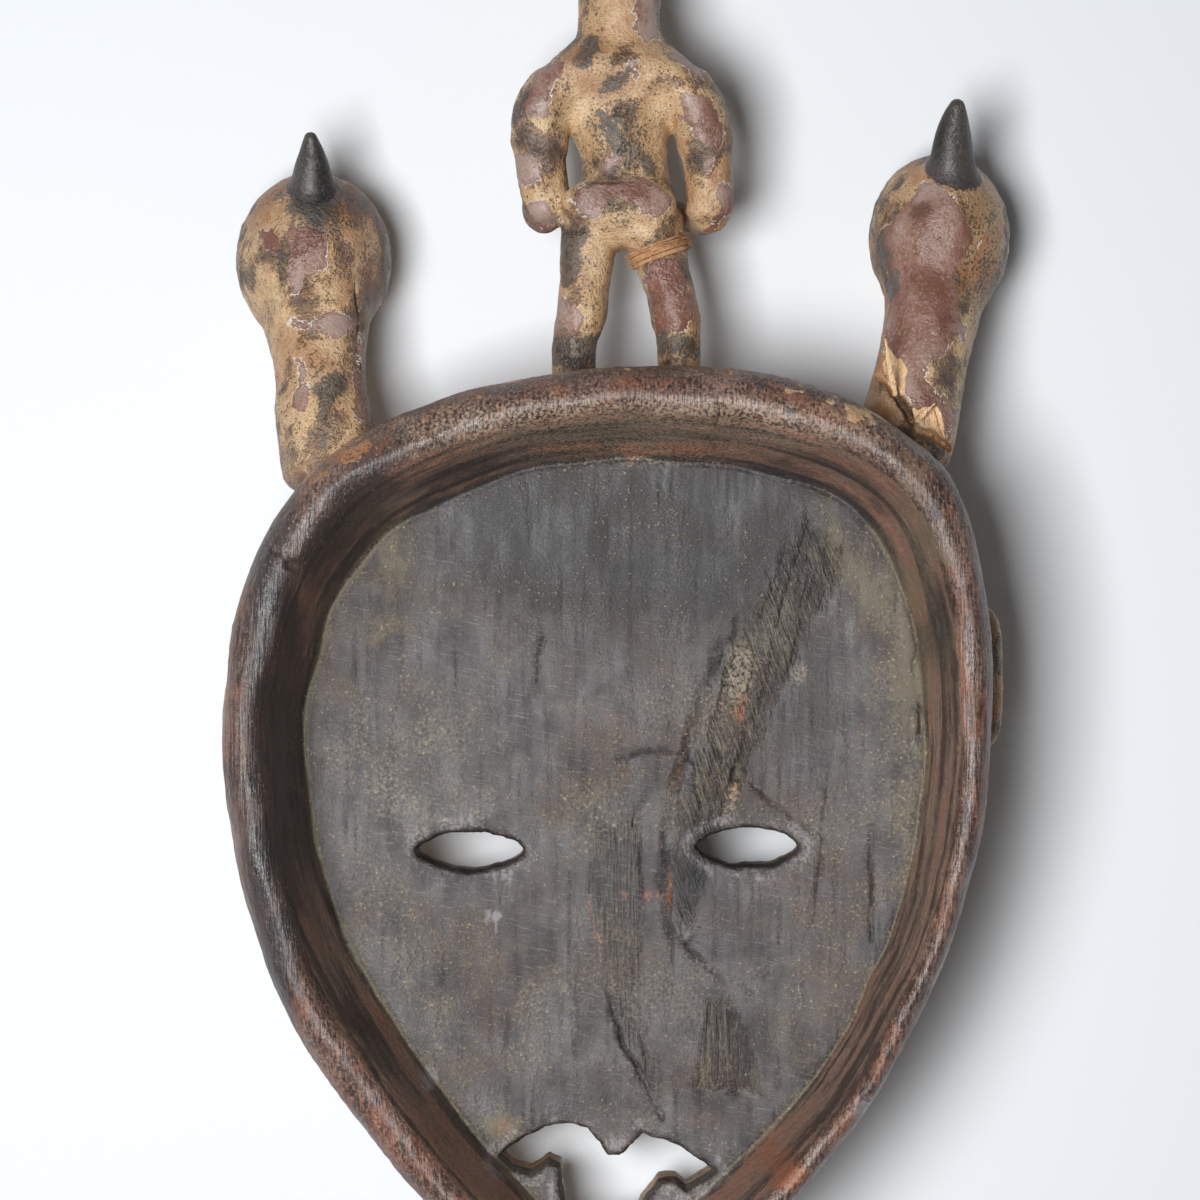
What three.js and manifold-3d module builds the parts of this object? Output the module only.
// A West African face mask carved from one block of wood, with a standing figure between two birds on its crown.
// Millimetres, +Z up. It lies on its face: the hollow back looks up, the crown and its crest point along +Y.
import * as THREE from "three";
import { mergeVertices } from "three/addons/utils/BufferGeometryUtils.js";
import Module from "manifold-3d";

const wasm = await Module();
wasm.setup();

// Heights above the surface that the mask lies on
const RIM_TOP = 96;
const RIM_EDGE = 89;
const BULGE_HEIGHT = 72;
const FLOOR_HEIGHT = 47;
const FACE_HEIGHT = 34;

// The middle of the carving, which becomes the origin of the finished part
const MIDDLE = [7.4, 10.4];

// The face's middle, from which the rings of the shell spread
const FACE_MIDDLE = [3, -62];

// Points clockwise from the crown: the rim's outer edge x, y, then the crease of the hollow's floor x, y
const SHELL_POINTS = [
  [14, 68.5, 12, 43.5],
  [54, 65, 44, 40],
  [84, 52.5, 66.5, 34],
  [104, 33, 82, 22],
  [113.6, -4, 94.5, -4],
  [114.6, -34, 98, -31],
  [112, -67, 96, -69],
  [99.6, -108, 83, -112],
  [78.4, -148.5, 61.5, -148.5],
  [47.5, -185.5, 39, -171.5],
  [24, -204, 20, -187],
  [3.5, -211.5, 3.5, -194],
  [-17, -204, -13, -187],
  [-42, -185.5, -31, -169.5],
  [-70, -153.5, -52, -143],
  [-93, -117.5, -73.5, -109],
  [-107, -73, -86.5, -72],
  [-110.2, -35, -89, -35],
  [-103, 7, -79, 2],
  [-83, 39, -60, 23],
  [-50, 57.5, -36, 35.5],
  [-18, 65.5, -13, 41.5],
];
const SHELL_COLUMNS = 56;
const FRONT_RINGS = 8;
const FLOOR_RINGS = 3;
const BOXINESS = 3.4;

// The wall above the bulge: share of the way from rim edge to crease, and height
const WALL_PROFILE = [
  [-0.02, 58],
  [-0.03, BULGE_HEIGHT],
  [-0.02, 82],
  [0, RIM_EDGE],
  [0.1, 94],
  [0.27, RIM_TOP],
  [0.45, 94.6],
  [0.6, 90],
  [0.69, 82],
  [0.83, 64],
  [1, FLOOR_HEIGHT + 1.5],
];

// Soft swellings of the face: middle x, y, spread x, y, and how far they stand out
const FACE_SWELLINGS = [
  [4, 12, 74, 40, 8],
  [3, -166, 40, 26, 5],
  [-52, -112, 26, 30, 2.5],
  [57, -112, 26, 30, 2.5],
];

const EAR_MIDDLE = -23;
const EARS = [
  { at: [-106, 50], outward: -1 },
  { at: [114.4, 64], outward: 1 },
];

// Eye slots: middle, length, width
const EYES = [
  { at: [-39.2, -75.6], length: 32.4, width: 11.4 },
  { at: [44.6, -74.6], length: 31.6, width: 11.4 },
];

// The open mouth, clockwise from its left corner, with one upper and two lower teeth
const MOUTH_POINTS = [
  [-30.2, -167.6],
  [-24.2, -163],
  [-16.2, -158.8],
  [-9.5, -158],
  [-3.6, -159.3],
  [2.2, -167.8],
  [5.8, -167.8],
  [13, -161],
  [23.9, -164.6],
  [34.4, -172.2],
  [26, -177.6],
  [22.5, -174.6],
  [17.5, -175],
  [11.5, -184],
  [0, -188],
  [-10.8, -184],
  [-11.6, -170.5],
  [-15.5, -169],
  [-20.8, -172.3],
  [-26.2, -171],
];
const LIPS = { at: [2, -171.5], length: 80, width: 42 };

// Birds: the middle of the head and its half sizes, then the neck and the beak as stations of a limb
const BIRDS = [
  {
    head: [-87.5, 103.8, 25],
    size: [22.8, 27, 26],
    neck: [
      [-80.5, 40, 51, 15, 14],
      [-83.2, 54, 48, 14.4, 14.4],
      [-84.6, 70, 43.5, 13.7, 14.2],
      [-86.2, 86, 37, 16.6, 17.6],
      [-87.4, 98, 30, 19, 20],
    ],
    beak: [
      [-87.6, 112, 34, 10, 9.5],
      [-87.4, 126, 40.5, 7.4, 7.6],
      [-88, 136.4, 46, 4.2, 4.6],
      [-88.1, 141.6, 49.5, 1.1, 1.3],
    ],
  },
  {
    head: [103.8, 110.6, 25],
    size: [21.4, 25.6, 26],
    neck: [
      [91, 46, 51, 14.8, 14],
      [93.6, 56, 48, 14.4, 14.4],
      [97, 70, 43.5, 13.6, 14.2],
      [100.6, 86, 37, 14.2, 16.6],
      [103, 99, 30, 16.6, 19],
    ],
    beak: [
      [104.8, 118, 34, 10, 9.5],
      [107.4, 131, 41, 7.2, 7.6],
      [107.8, 143, 47.6, 4.2, 4.6],
      [107.8, 150.4, 52, 1.1, 1.3],
    ],
  },
];
const BIRD_EYE = { radius: 9, proud: 2.6, ring: 3 };

// The split that runs down across the back of the right bird's neck: a jagged gap, x, y
const NECK_SPLIT = [
  [80.5, 78.4],
  [84.6, 75.2],
  [88.2, 66.4],
  [91.6, 63.2],
  [94.6, 54.6],
  [99.2, 52.8],
  [105, 44.8],
  [106.4, 46.2],
  [100.4, 55.6],
  [96.4, 57],
  [93.4, 65.4],
  [90, 69],
  [86.4, 78],
  [81, 80.2],
];
const NECK_SPLIT_DEPTH = 50;

// The standing figure, as stations of limbs: x, y, z, half width, half depth
const TRUNK = [
  [7.2, 108, 46, 16, 11],
  [7.4, 117, 46, 16.6, 12.4],
  [7.6, 130, 45.5, 12.8, 10.6],
  [6.4, 143, 46.5, 15.5, 11.6],
  [6, 153, 47.5, 20, 11],
  [5.8, 160, 48.5, 20.4, 10],
  [5.8, 168, 48.5, 13.4, 10.6],
  [5.8, 186, 47, 12.4, 11.6],
];
const LEFT_LEG = [
  [-2.4, 112, 46, 9, 10.4],
  [-3.4, 99, 47, 8.2, 9],
  [-5.2, 92, 47.5, 6.9, 8],
  [-6, 84, 47.8, 7.4, 8.2],
  [-7.3, 75, 47.5, 6.5, 7],
  [-7.6, 58, 47.5, 6.4, 7],
];
const RIGHT_LEG = [
  [15.6, 112, 46, 9.4, 10.4],
  [18.3, 101, 47, 8.5, 9],
  [20.7, 94, 47.5, 7.2, 8],
  [22.2, 87.5, 47.8, 7.8, 8.2],
  [23.3, 77, 47.5, 6.7, 7],
  [23.6, 58, 47.5, 6.4, 7],
];
const FEET = [-7.6, 23.6];
const BUTTOCKS = [
  [-2, 118.6, 54.5],
  [13.6, 118.6, 54.5],
];
const BUTTOCK_SIZE = [8.6, 8.6, 7.6];
const LEFT_ARM = [
  [-14, 153.5, 48, 7.4, 7.6],
  [-17.6, 146, 48, 8, 8.4],
  [-17.8, 132, 47.5, 7.6, 8],
  [-16, 118, 46.5, 7.1, 7.4],
];
const RIGHT_ARM = [
  [26, 153.5, 48, 7.4, 7.6],
  [29.8, 146, 48, 7.8, 8.4],
  [32.4, 132, 47.5, 7.4, 8],
  [33, 117.6, 46.5, 7, 7.2],
];
const LEFT_FOREARM = [
  [-17, 117, 45, 6.4, 6.4],
  [-14, 118.6, 34, 5.6, 5.2],
  [-3, 121, 32, 5.6, 4.4],
];
const RIGHT_FOREARM = [
  [33, 117, 45, 6.2, 6.4],
  [28.4, 118.6, 34, 5.6, 5.2],
  [17.4, 121, 32, 5.6, 4.4],
];
const HEAD = { at: [5.8, 205, 45], size: [17.6, 24, 20] };

// The thread wound round the right thigh
const THREAD = { at: [18.3, 105, 47], half: [9.1, 9.7], turns: 5, thickness: 0.8, tilt: 0.33, gap: 0.35 };

// The nose, from its flat tip down to the face: height, top y, bottom y, half width at the nostrils
const NOSE_RINGS = [
  [-1, -103, -114, 4.6],
  [3, -97, -117, 7],
  [10, -85, -119, 9],
  [19, -69, -119.5, 10.6],
  [27, -56, -119, 11.6],
  [34, -50, -118, 12],
  [42, -50, -118, 12],
];

// How far a cut or a joined piece reaches past what it has to
const SPARE = 6;

// Solids

function solidFrom(geometry) {
  geometry.deleteAttribute("normal");
  geometry.deleteAttribute("uv");
  const merged = mergeVertices(geometry);
  const corners = merged.index.array;
  const triVerts = [];
  for (let i = 0; i < corners.length; i += 3) {
    const [a, b, c] = corners.slice(i, i + 3);
    if (a !== b && b !== c && c !== a) triVerts.push(a, b, c);
  }
  const vertProperties = merged.getAttribute("position").array;
  return new wasm.Manifold(
    new wasm.Mesh({ numProp: 3, vertProperties, triVerts: new Uint32Array(triVerts) }),
  );
}

function join(solids) {
  return solids.reduce((whole, piece) => whole.add(piece));
}

// Grazing cuts can leave specks of no volume beside the carving
function largestBody(solid) {
  return solid.decompose().reduce((best, body) => (body.volume() > best.volume() ? body : best));
}

function geometryFrom(solid) {
  const { numProp, vertProperties, triVerts } = solid.getMesh();
  const position = new Float32Array(vertProperties);
  if (numProp !== 3) throw new Error("the solid carries more than positions");
  const geometry = new THREE.BufferGeometry();
  geometry.setAttribute("position", new THREE.BufferAttribute(position, 3));
  geometry.setIndex(new THREE.BufferAttribute(triVerts, 1));
  const flat = geometry.toNonIndexed();
  flat.computeVertexNormals();
  return flat;
}

// A closed skin of rings. place(ring, turn) gives the point of a ring at a share of its full turn, and the first
// and last ring are single points.
function skin(ringCount, sides, place) {
  const profile = [];
  for (let ring = 0; ring < ringCount; ring++) {
    const isPole = ring === 0 || ring === ringCount - 1;
    profile.push(new THREE.Vector2(isPole ? 0 : 1, ring));
  }
  const geometry = new THREE.LatheGeometry(profile, sides);
  const position = geometry.getAttribute("position");
  for (let i = 0; i < position.count; i++) {
    const side = Math.floor(i / ringCount) % sides;
    const { x, y, z } = place(i % ringCount, side / sides);
    position.setXYZ(i, x, y, z);
  }
  return solidFrom(geometry);
}

// A body that follows its stations, each x, y, z, half width, half depth, with rounded ends. Its width lies across
// the path and the facing direction.
function limb(stations, { sides = 10, rings = 8, facing = [0, 0, 1], roundness = 0.6 } = {}) {
  const path = new THREE.CatmullRomCurve3(stations.map(([x, y, z]) => new THREE.Vector3(x, y, z)));
  const girth = new THREE.CatmullRomCurve3(
    stations.map(([, , , wide, deep]) => new THREE.Vector3(wide, deep, 0)),
  );
  const steps = [
    { along: 0, scale: 0, out: -1 },
    { along: 0, scale: 0.7, out: -0.7 },
  ];
  for (let ring = 0; ring < rings; ring++) steps.push({ along: ring / (rings - 1), scale: 1, out: 0 });
  steps.push({ along: 1, scale: 0.7, out: 0.7 });
  steps.push({ along: 1, scale: 0, out: 1 });
  const front = new THREE.Vector3(...facing);
  return skin(steps.length, sides, (ring, turn) => {
    const { along, scale, out } = steps[ring];
    const tangent = path.getTangent(along);
    const across = new THREE.Vector3().crossVectors(tangent, front).normalize();
    const deepways = new THREE.Vector3().crossVectors(across, tangent);
    const { x: wide, y: deep } = girth.getPoint(along);
    const angle = 2 * Math.PI * turn;
    return path
      .getPoint(along)
      .addScaledVector(tangent, out * roundness * Math.min(wide, deep))
      .addScaledVector(across, scale * wide * Math.cos(angle))
      .addScaledVector(deepways, -scale * deep * Math.sin(angle));
  });
}

function ellipsoid([x, y, z], [halfX, halfY, halfZ], sides = 12, rings = 8) {
  const ball = new THREE.SphereGeometry(1, sides, rings);
  ball.scale(halfX, halfY, halfZ);
  ball.translate(x, y, z);
  return solidFrom(ball);
}

// A low form that stands on the face: an outline in x and y, scaled about its middle, at each profile height
function boss(outline, [x, y], profile, sides = 18) {
  return skin(profile.length, sides, (ring, turn) => {
    const [scale, z] = profile[ring];
    const [offsetX, offsetY] = outline(turn);
    return new THREE.Vector3(x + scale * offsetX, y + scale * offsetY, z);
  });
}

// An almond with pointed ends on the X axis
function almond(length, width) {
  return (turn) => {
    const angle = 2 * Math.PI * turn;
    const side = Math.sin(angle);
    return [(length / 2) * Math.cos(angle), (width / 2) * side * Math.abs(side) ** 0.35];
  };
}

function prism(points, bottom, top) {
  const shape = new THREE.Shape(points.map(([x, y]) => new THREE.Vector2(x, y)));
  const geometry = new THREE.ExtrudeGeometry(shape, { depth: top - bottom, bevelEnabled: false });
  geometry.translate(0, 0, bottom);
  return solidFrom(geometry);
}

// The face shell

function faceHeight(x, y) {
  const swelling = FACE_SWELLINGS.reduce((sum, [middleX, middleY, spreadX, spreadY, rise]) => {
    const away = ((x - middleX) / spreadX) ** 2 + ((y - middleY) / spreadY) ** 2;
    return sum + rise * Math.exp(-away);
  }, 0);
  return FACE_HEIGHT - swelling;
}

// The height of the front face at x, y, where the share is 0 at the face's middle and 1 at the rim's edge
function frontHeight(x, y, share) {
  const low = faceHeight(x, y);
  const turned = 1 - (1 - share ** BOXINESS) ** (1 / BOXINESS);
  return low + (WALL_PROFILE[0][1] - low) * turned;
}

function closedOutline(column) {
  const clockwise = SHELL_POINTS.map((row) => new THREE.Vector3(row[column], row[column + 1], 0));
  return new THREE.CatmullRomCurve3(clockwise.reverse(), true, "centripetal");
}

function shell() {
  const rim = closedOutline(0);
  const crease = closedOutline(2);
  const middle = new THREE.Vector3(...FACE_MIDDLE, 0);
  const firstWall = FRONT_RINGS + 1;
  const firstFloor = firstWall + WALL_PROFILE.length;

  const onFront = (ring, edge) => {
    const share = 1 - (1 - ring / firstWall) ** 1.5;
    const point = middle.clone().lerp(edge, share);
    return point.setZ(frontHeight(point.x, point.y, share));
  };
  const onWall = (ring, edge, foot) => {
    const [share, height] = WALL_PROFILE[ring - firstWall];
    return edge.clone().lerp(foot, share).setZ(height);
  };
  const onFloor = (ring, foot) => {
    const share = (ring - firstFloor + 1) / FLOOR_RINGS;
    return foot.clone().lerp(middle, Math.min(share, 1)).setZ(FLOOR_HEIGHT);
  };

  return skin(firstFloor + FLOOR_RINGS, SHELL_COLUMNS, (ring, turn) => {
    const edge = rim.getPoint(turn);
    const foot = crease.getPoint(turn);
    if (ring < firstWall) return onFront(ring, edge);
    return ring < firstFloor ? onWall(ring, edge, foot) : onFloor(ring, foot);
  });
}

// The carved face's height at x, y, where a form is laid on it
function surfaceAt(x, y) {
  const [middleX, middleY] = FACE_MIDDLE;
  const bearing = Math.atan2(y - middleY, x - middleX);
  const offBearing = (point) => {
    const turn = Math.atan2(point.y - middleY, point.x - middleX) - bearing;
    return Math.abs(Math.atan2(Math.sin(turn), Math.cos(turn)));
  };
  const edge = closedOutline(0)
    .getPoints(12 * SHELL_POINTS.length)
    .reduce((best, point) => (offBearing(point) < offBearing(best) ? point : best));
  const share = Math.hypot(x - middleX, y - middleY) / Math.hypot(edge.x - middleX, edge.y - middleY);
  return frontHeight(x, y, Math.min(share, 1));
}

// A raised line laid on the face through the points x, y, half sunk in it
function ridge(points, wide, proud, options) {
  return limb(
    points.map(([x, y]) => [x, y, surfaceAt(x, y), wide, proud]),
    { sides: 8, ...options },
  );
}

function nose() {
  const [x] = FACE_MIDDLE;
  const ends = [NOSE_RINGS[0], ...NOSE_RINGS, NOSE_RINGS.at(-1)];
  return skin(ends.length, 12, (ring, turn) => {
    const [z, top, bottom, half] = ends[ring];
    const isPole = ring === 0 || ring === ends.length - 1;
    const size = isPole ? 0 : 1;
    const angle = 2 * Math.PI * turn;
    const down = (1 - size * Math.cos(angle)) / 2;
    const flare = 0.5 + 0.5 * down;
    return new THREE.Vector3(x + size * half * flare * Math.sin(-angle), top + (bottom - top) * down, z);
  });
}

function lids() {
  return EYES.map(({ at, length, width }) => {
    const profile = [
      [0, 25],
      [0.62, 25.6],
      [0.86, 27.6],
      [1, 32],
      [1, FLOOR_HEIGHT - SPARE],
      [0, FLOOR_HEIGHT - SPARE],
    ];
    return boss(almond(length + 12, width + 13), at, profile);
  });
}

function brows() {
  const [x] = FACE_MIDDLE;
  return [-1, 1].map((side) => {
    const arch = [
      [x + side * 6, -57],
      [x + side * 22, -50],
      [x + side * 43, -49],
      [x + side * 66, -60],
    ];
    return ridge(arch, 4, 6, { rings: 7 });
  });
}

function lips() {
  const { at, length, width } = LIPS;
  const profile = [
    [0, 22],
    [0.72, 22],
    [0.9, 24.4],
    [1, 30],
    [1, FLOOR_HEIGHT - SPARE],
    [0, FLOOR_HEIGHT - SPARE],
  ];
  return boss(almond(length, width), at, profile);
}

// The ears are upright bows on the shell's flanks, with both ends run into the wood
function ears() {
  return EARS.map(({ at: [x, z], outward }) =>
    limb(
      [
        [x - outward * 6, EAR_MIDDLE + 15, z - 6, 4, 4.6],
        [x - outward, EAR_MIDDLE + 17, z, 4, 4.6],
        [x, EAR_MIDDLE, z + 4, 4.2, 5],
        [x - outward, EAR_MIDDLE - 17, z, 4, 4.6],
        [x - outward * 6, EAR_MIDDLE - 15, z - 6, 4, 4.6],
      ],
      { sides: 8, rings: 8 },
    ),
  );
}

// A raised band over the forehead, below the feet of the crest
function crownBand() {
  const across = [
    [-74, 26],
    [-44, 43],
    [4, 51],
    [52, 47],
    [82, 30],
  ];
  return ridge(across, 4.4, 4.4, { rings: 8 });
}

function openings() {
  const slots = EYES.map(({ at: [x, y], length, width }) => {
    const outline = almond(length, width);
    const count = 16;
    const points = [];
    for (let i = 0; i < count; i++) {
      const [offsetX, offsetY] = outline(i / count);
      points.push([x + offsetX, y + offsetY]);
    }
    return prism(points, -SPARE, FLOOR_HEIGHT + SPARE);
  });
  return join([...slots, prism(MOUTH_POINTS, -SPARE, FLOOR_HEIGHT + 3 * SPARE)]);
}

// The crest

function ringedEye([x, y, z], [halfX], outward) {
  const { radius, proud, ring } = BIRD_EYE;
  const profile = [
    [0, -2 * SPARE],
    [radius, -2 * SPARE],
    [radius, 0],
    [radius - ring / 2, proud],
    [radius - ring, proud - 1.2],
    [0, proud],
  ].map(([across, up]) => new THREE.Vector2(across, up));
  const disc = new THREE.LatheGeometry(profile, 12);
  disc.rotateZ((-outward * Math.PI) / 2);
  disc.translate(x + outward * (halfX - 1.2), y, z);
  return solidFrom(disc);
}

function bird({ head, size, neck, beak }) {
  return join([
    ellipsoid(head, size, 14, 10),
    limb(neck, { sides: 12, rings: 7 }),
    limb(beak, { sides: 8, rings: 5 }),
    ringedEye(head, size, -1),
    ringedEye(head, size, 1),
  ]);
}

function figureHead() {
  const { at, size } = HEAD;
  const [x, y, z] = at;
  const [halfX, halfY, halfZ] = size;
  const front = z - halfZ;
  const crestOfHair = limb(
    [
      [x, y + halfY * 0.35, front + 4, 3.4, 4],
      [x, y + halfY * 0.86, z - 8, 3.6, 5],
      [x, y + halfY, z + 2, 3.6, 5],
      [x, y + halfY * 0.7, z + halfZ * 0.78, 3.6, 4],
      [x, y, z + halfZ * 0.98, 3, 2.4],
    ],
    { sides: 6, rings: 8, facing: [1, 0, 0] },
  );
  const nosePiece = limb(
    [
      [x, y + 2, front + 1.6, 2, 2.2],
      [x, y - 5, front + 0.4, 2.6, 3.4],
      [x, y - 7, front + 1.4, 3.2, 3],
    ],
    { sides: 8, rings: 5 },
  );
  const eyes = [-1, 1].map((side) =>
    ellipsoid([x + side * 7, y - 0.5, front + 2.6], [4.4, 2.2, 2.4], 8, 6),
  );
  const mouth = ellipsoid([x, y - 12.6, front + 3.4], [5, 2.2, 2.6], 8, 6);
  const earPieces = [-1, 1].map((side) =>
    ellipsoid([x + side * (halfX - 0.4), y - 2, z], [2.2, 5, 3.4], 8, 6),
  );
  return join([ellipsoid(at, size, 14, 10), crestOfHair, nosePiece, mouth, ...eyes, ...earPieces]);
}

function figure() {
  const soles = FEET.map((x) =>
    limb(
      [
        [x, 64, 50, 6, 4],
        [x, 62, 38, 6, 4.6],
        [x, 60.5, 30, 5.4, 4],
      ],
      { sides: 8, rings: 5, facing: [0, 1, 0] },
    ),
  );
  const forearmOptions = { sides: 8, rings: 5, facing: [0, 1, 0] };
  return join([
    limb(TRUNK, { sides: 12, rings: 12 }),
    limb(LEFT_LEG, { rings: 9 }),
    limb(RIGHT_LEG, { rings: 9 }),
    ...BUTTOCKS.map((at) => ellipsoid(at, BUTTOCK_SIZE, 10, 7)),
    limb(LEFT_ARM, { rings: 6 }),
    limb(RIGHT_ARM, { rings: 6 }),
    limb(LEFT_FOREARM, forearmOptions),
    limb(RIGHT_FOREARM, forearmOptions),
    ...soles,
    figureHead(),
  ]);
}

// A closed ring with the given profile of distance out from the thigh and place along it
function ringOnThigh(profile) {
  const { at, half, tilt } = THREAD;
  const [halfX, halfZ] = half;
  const closed = [...profile, profile[0]].map(([out, along]) => new THREE.Vector2(halfX + out, along));
  const ring = new THREE.LatheGeometry(closed, 20);
  ring.scale(1, 1, halfZ / halfX);
  ring.rotateZ(tilt);
  ring.translate(...at);
  return solidFrom(ring);
}

// Turns of thread side by side, as rounded ribs of one ring
function thread() {
  const { turns, thickness } = THREAD;
  const length = turns * thickness;
  const profile = [[thickness * 0.5, -length / 2]];
  for (let turn = 0; turn < turns; turn++) {
    const start = -length / 2 + turn * thickness;
    profile.push([thickness, start + thickness / 2]);
    profile.push([thickness * 0.5, start + thickness]);
  }
  return ringOnThigh([...profile, [0, length / 2], [0, -length / 2]]);
}

// The room that the thread presses into the painted wood
function threadGroove() {
  const { turns, thickness, gap } = THREAD;
  const reach = (turns * thickness) / 2 + gap;
  return ringOnThigh([
    [2 * thickness, -reach],
    [2 * thickness, reach],
    [-gap, reach],
    [-gap, -reach],
  ]);
}

// The part

function maskSolid() {
  const carving = join([
    shell(),
    nose(),
    ...lids(),
    ...brows(),
    lips(),
    ...ears(),
    crownBand(),
    ...BIRDS.map(bird),
    figure(),
  ]);
  const belowTheSurface = new THREE.BoxGeometry(600, 800, 100);
  belowTheSurface.translate(0, 0, -50);
  const carved = carving
    .subtract(openings())
    .subtract(prism(NECK_SPLIT, NECK_SPLIT_DEPTH, RIM_TOP))
    .subtract(threadGroove())
    .subtract(solidFrom(belowTheSurface));
  return largestBody(carved);
}

function piece(name, solid, material) {
  const geometry = geometryFrom(solid);
  const mesh = new THREE.Mesh(geometry, new THREE.MeshStandardMaterial(material));
  mesh.name = name;
  mesh.position.set(-MIDDLE[0], -MIDDLE[1], 0);
  return mesh;
}

const part = new THREE.Group();
part.add(piece("mask", maskSolid(), { color: 0x5a4a41, roughness: 0.72, metalness: 0 }));
part.add(piece("thigh_thread", thread(), { color: 0xa9683a, roughness: 0.9, metalness: 0 }));

export default part;
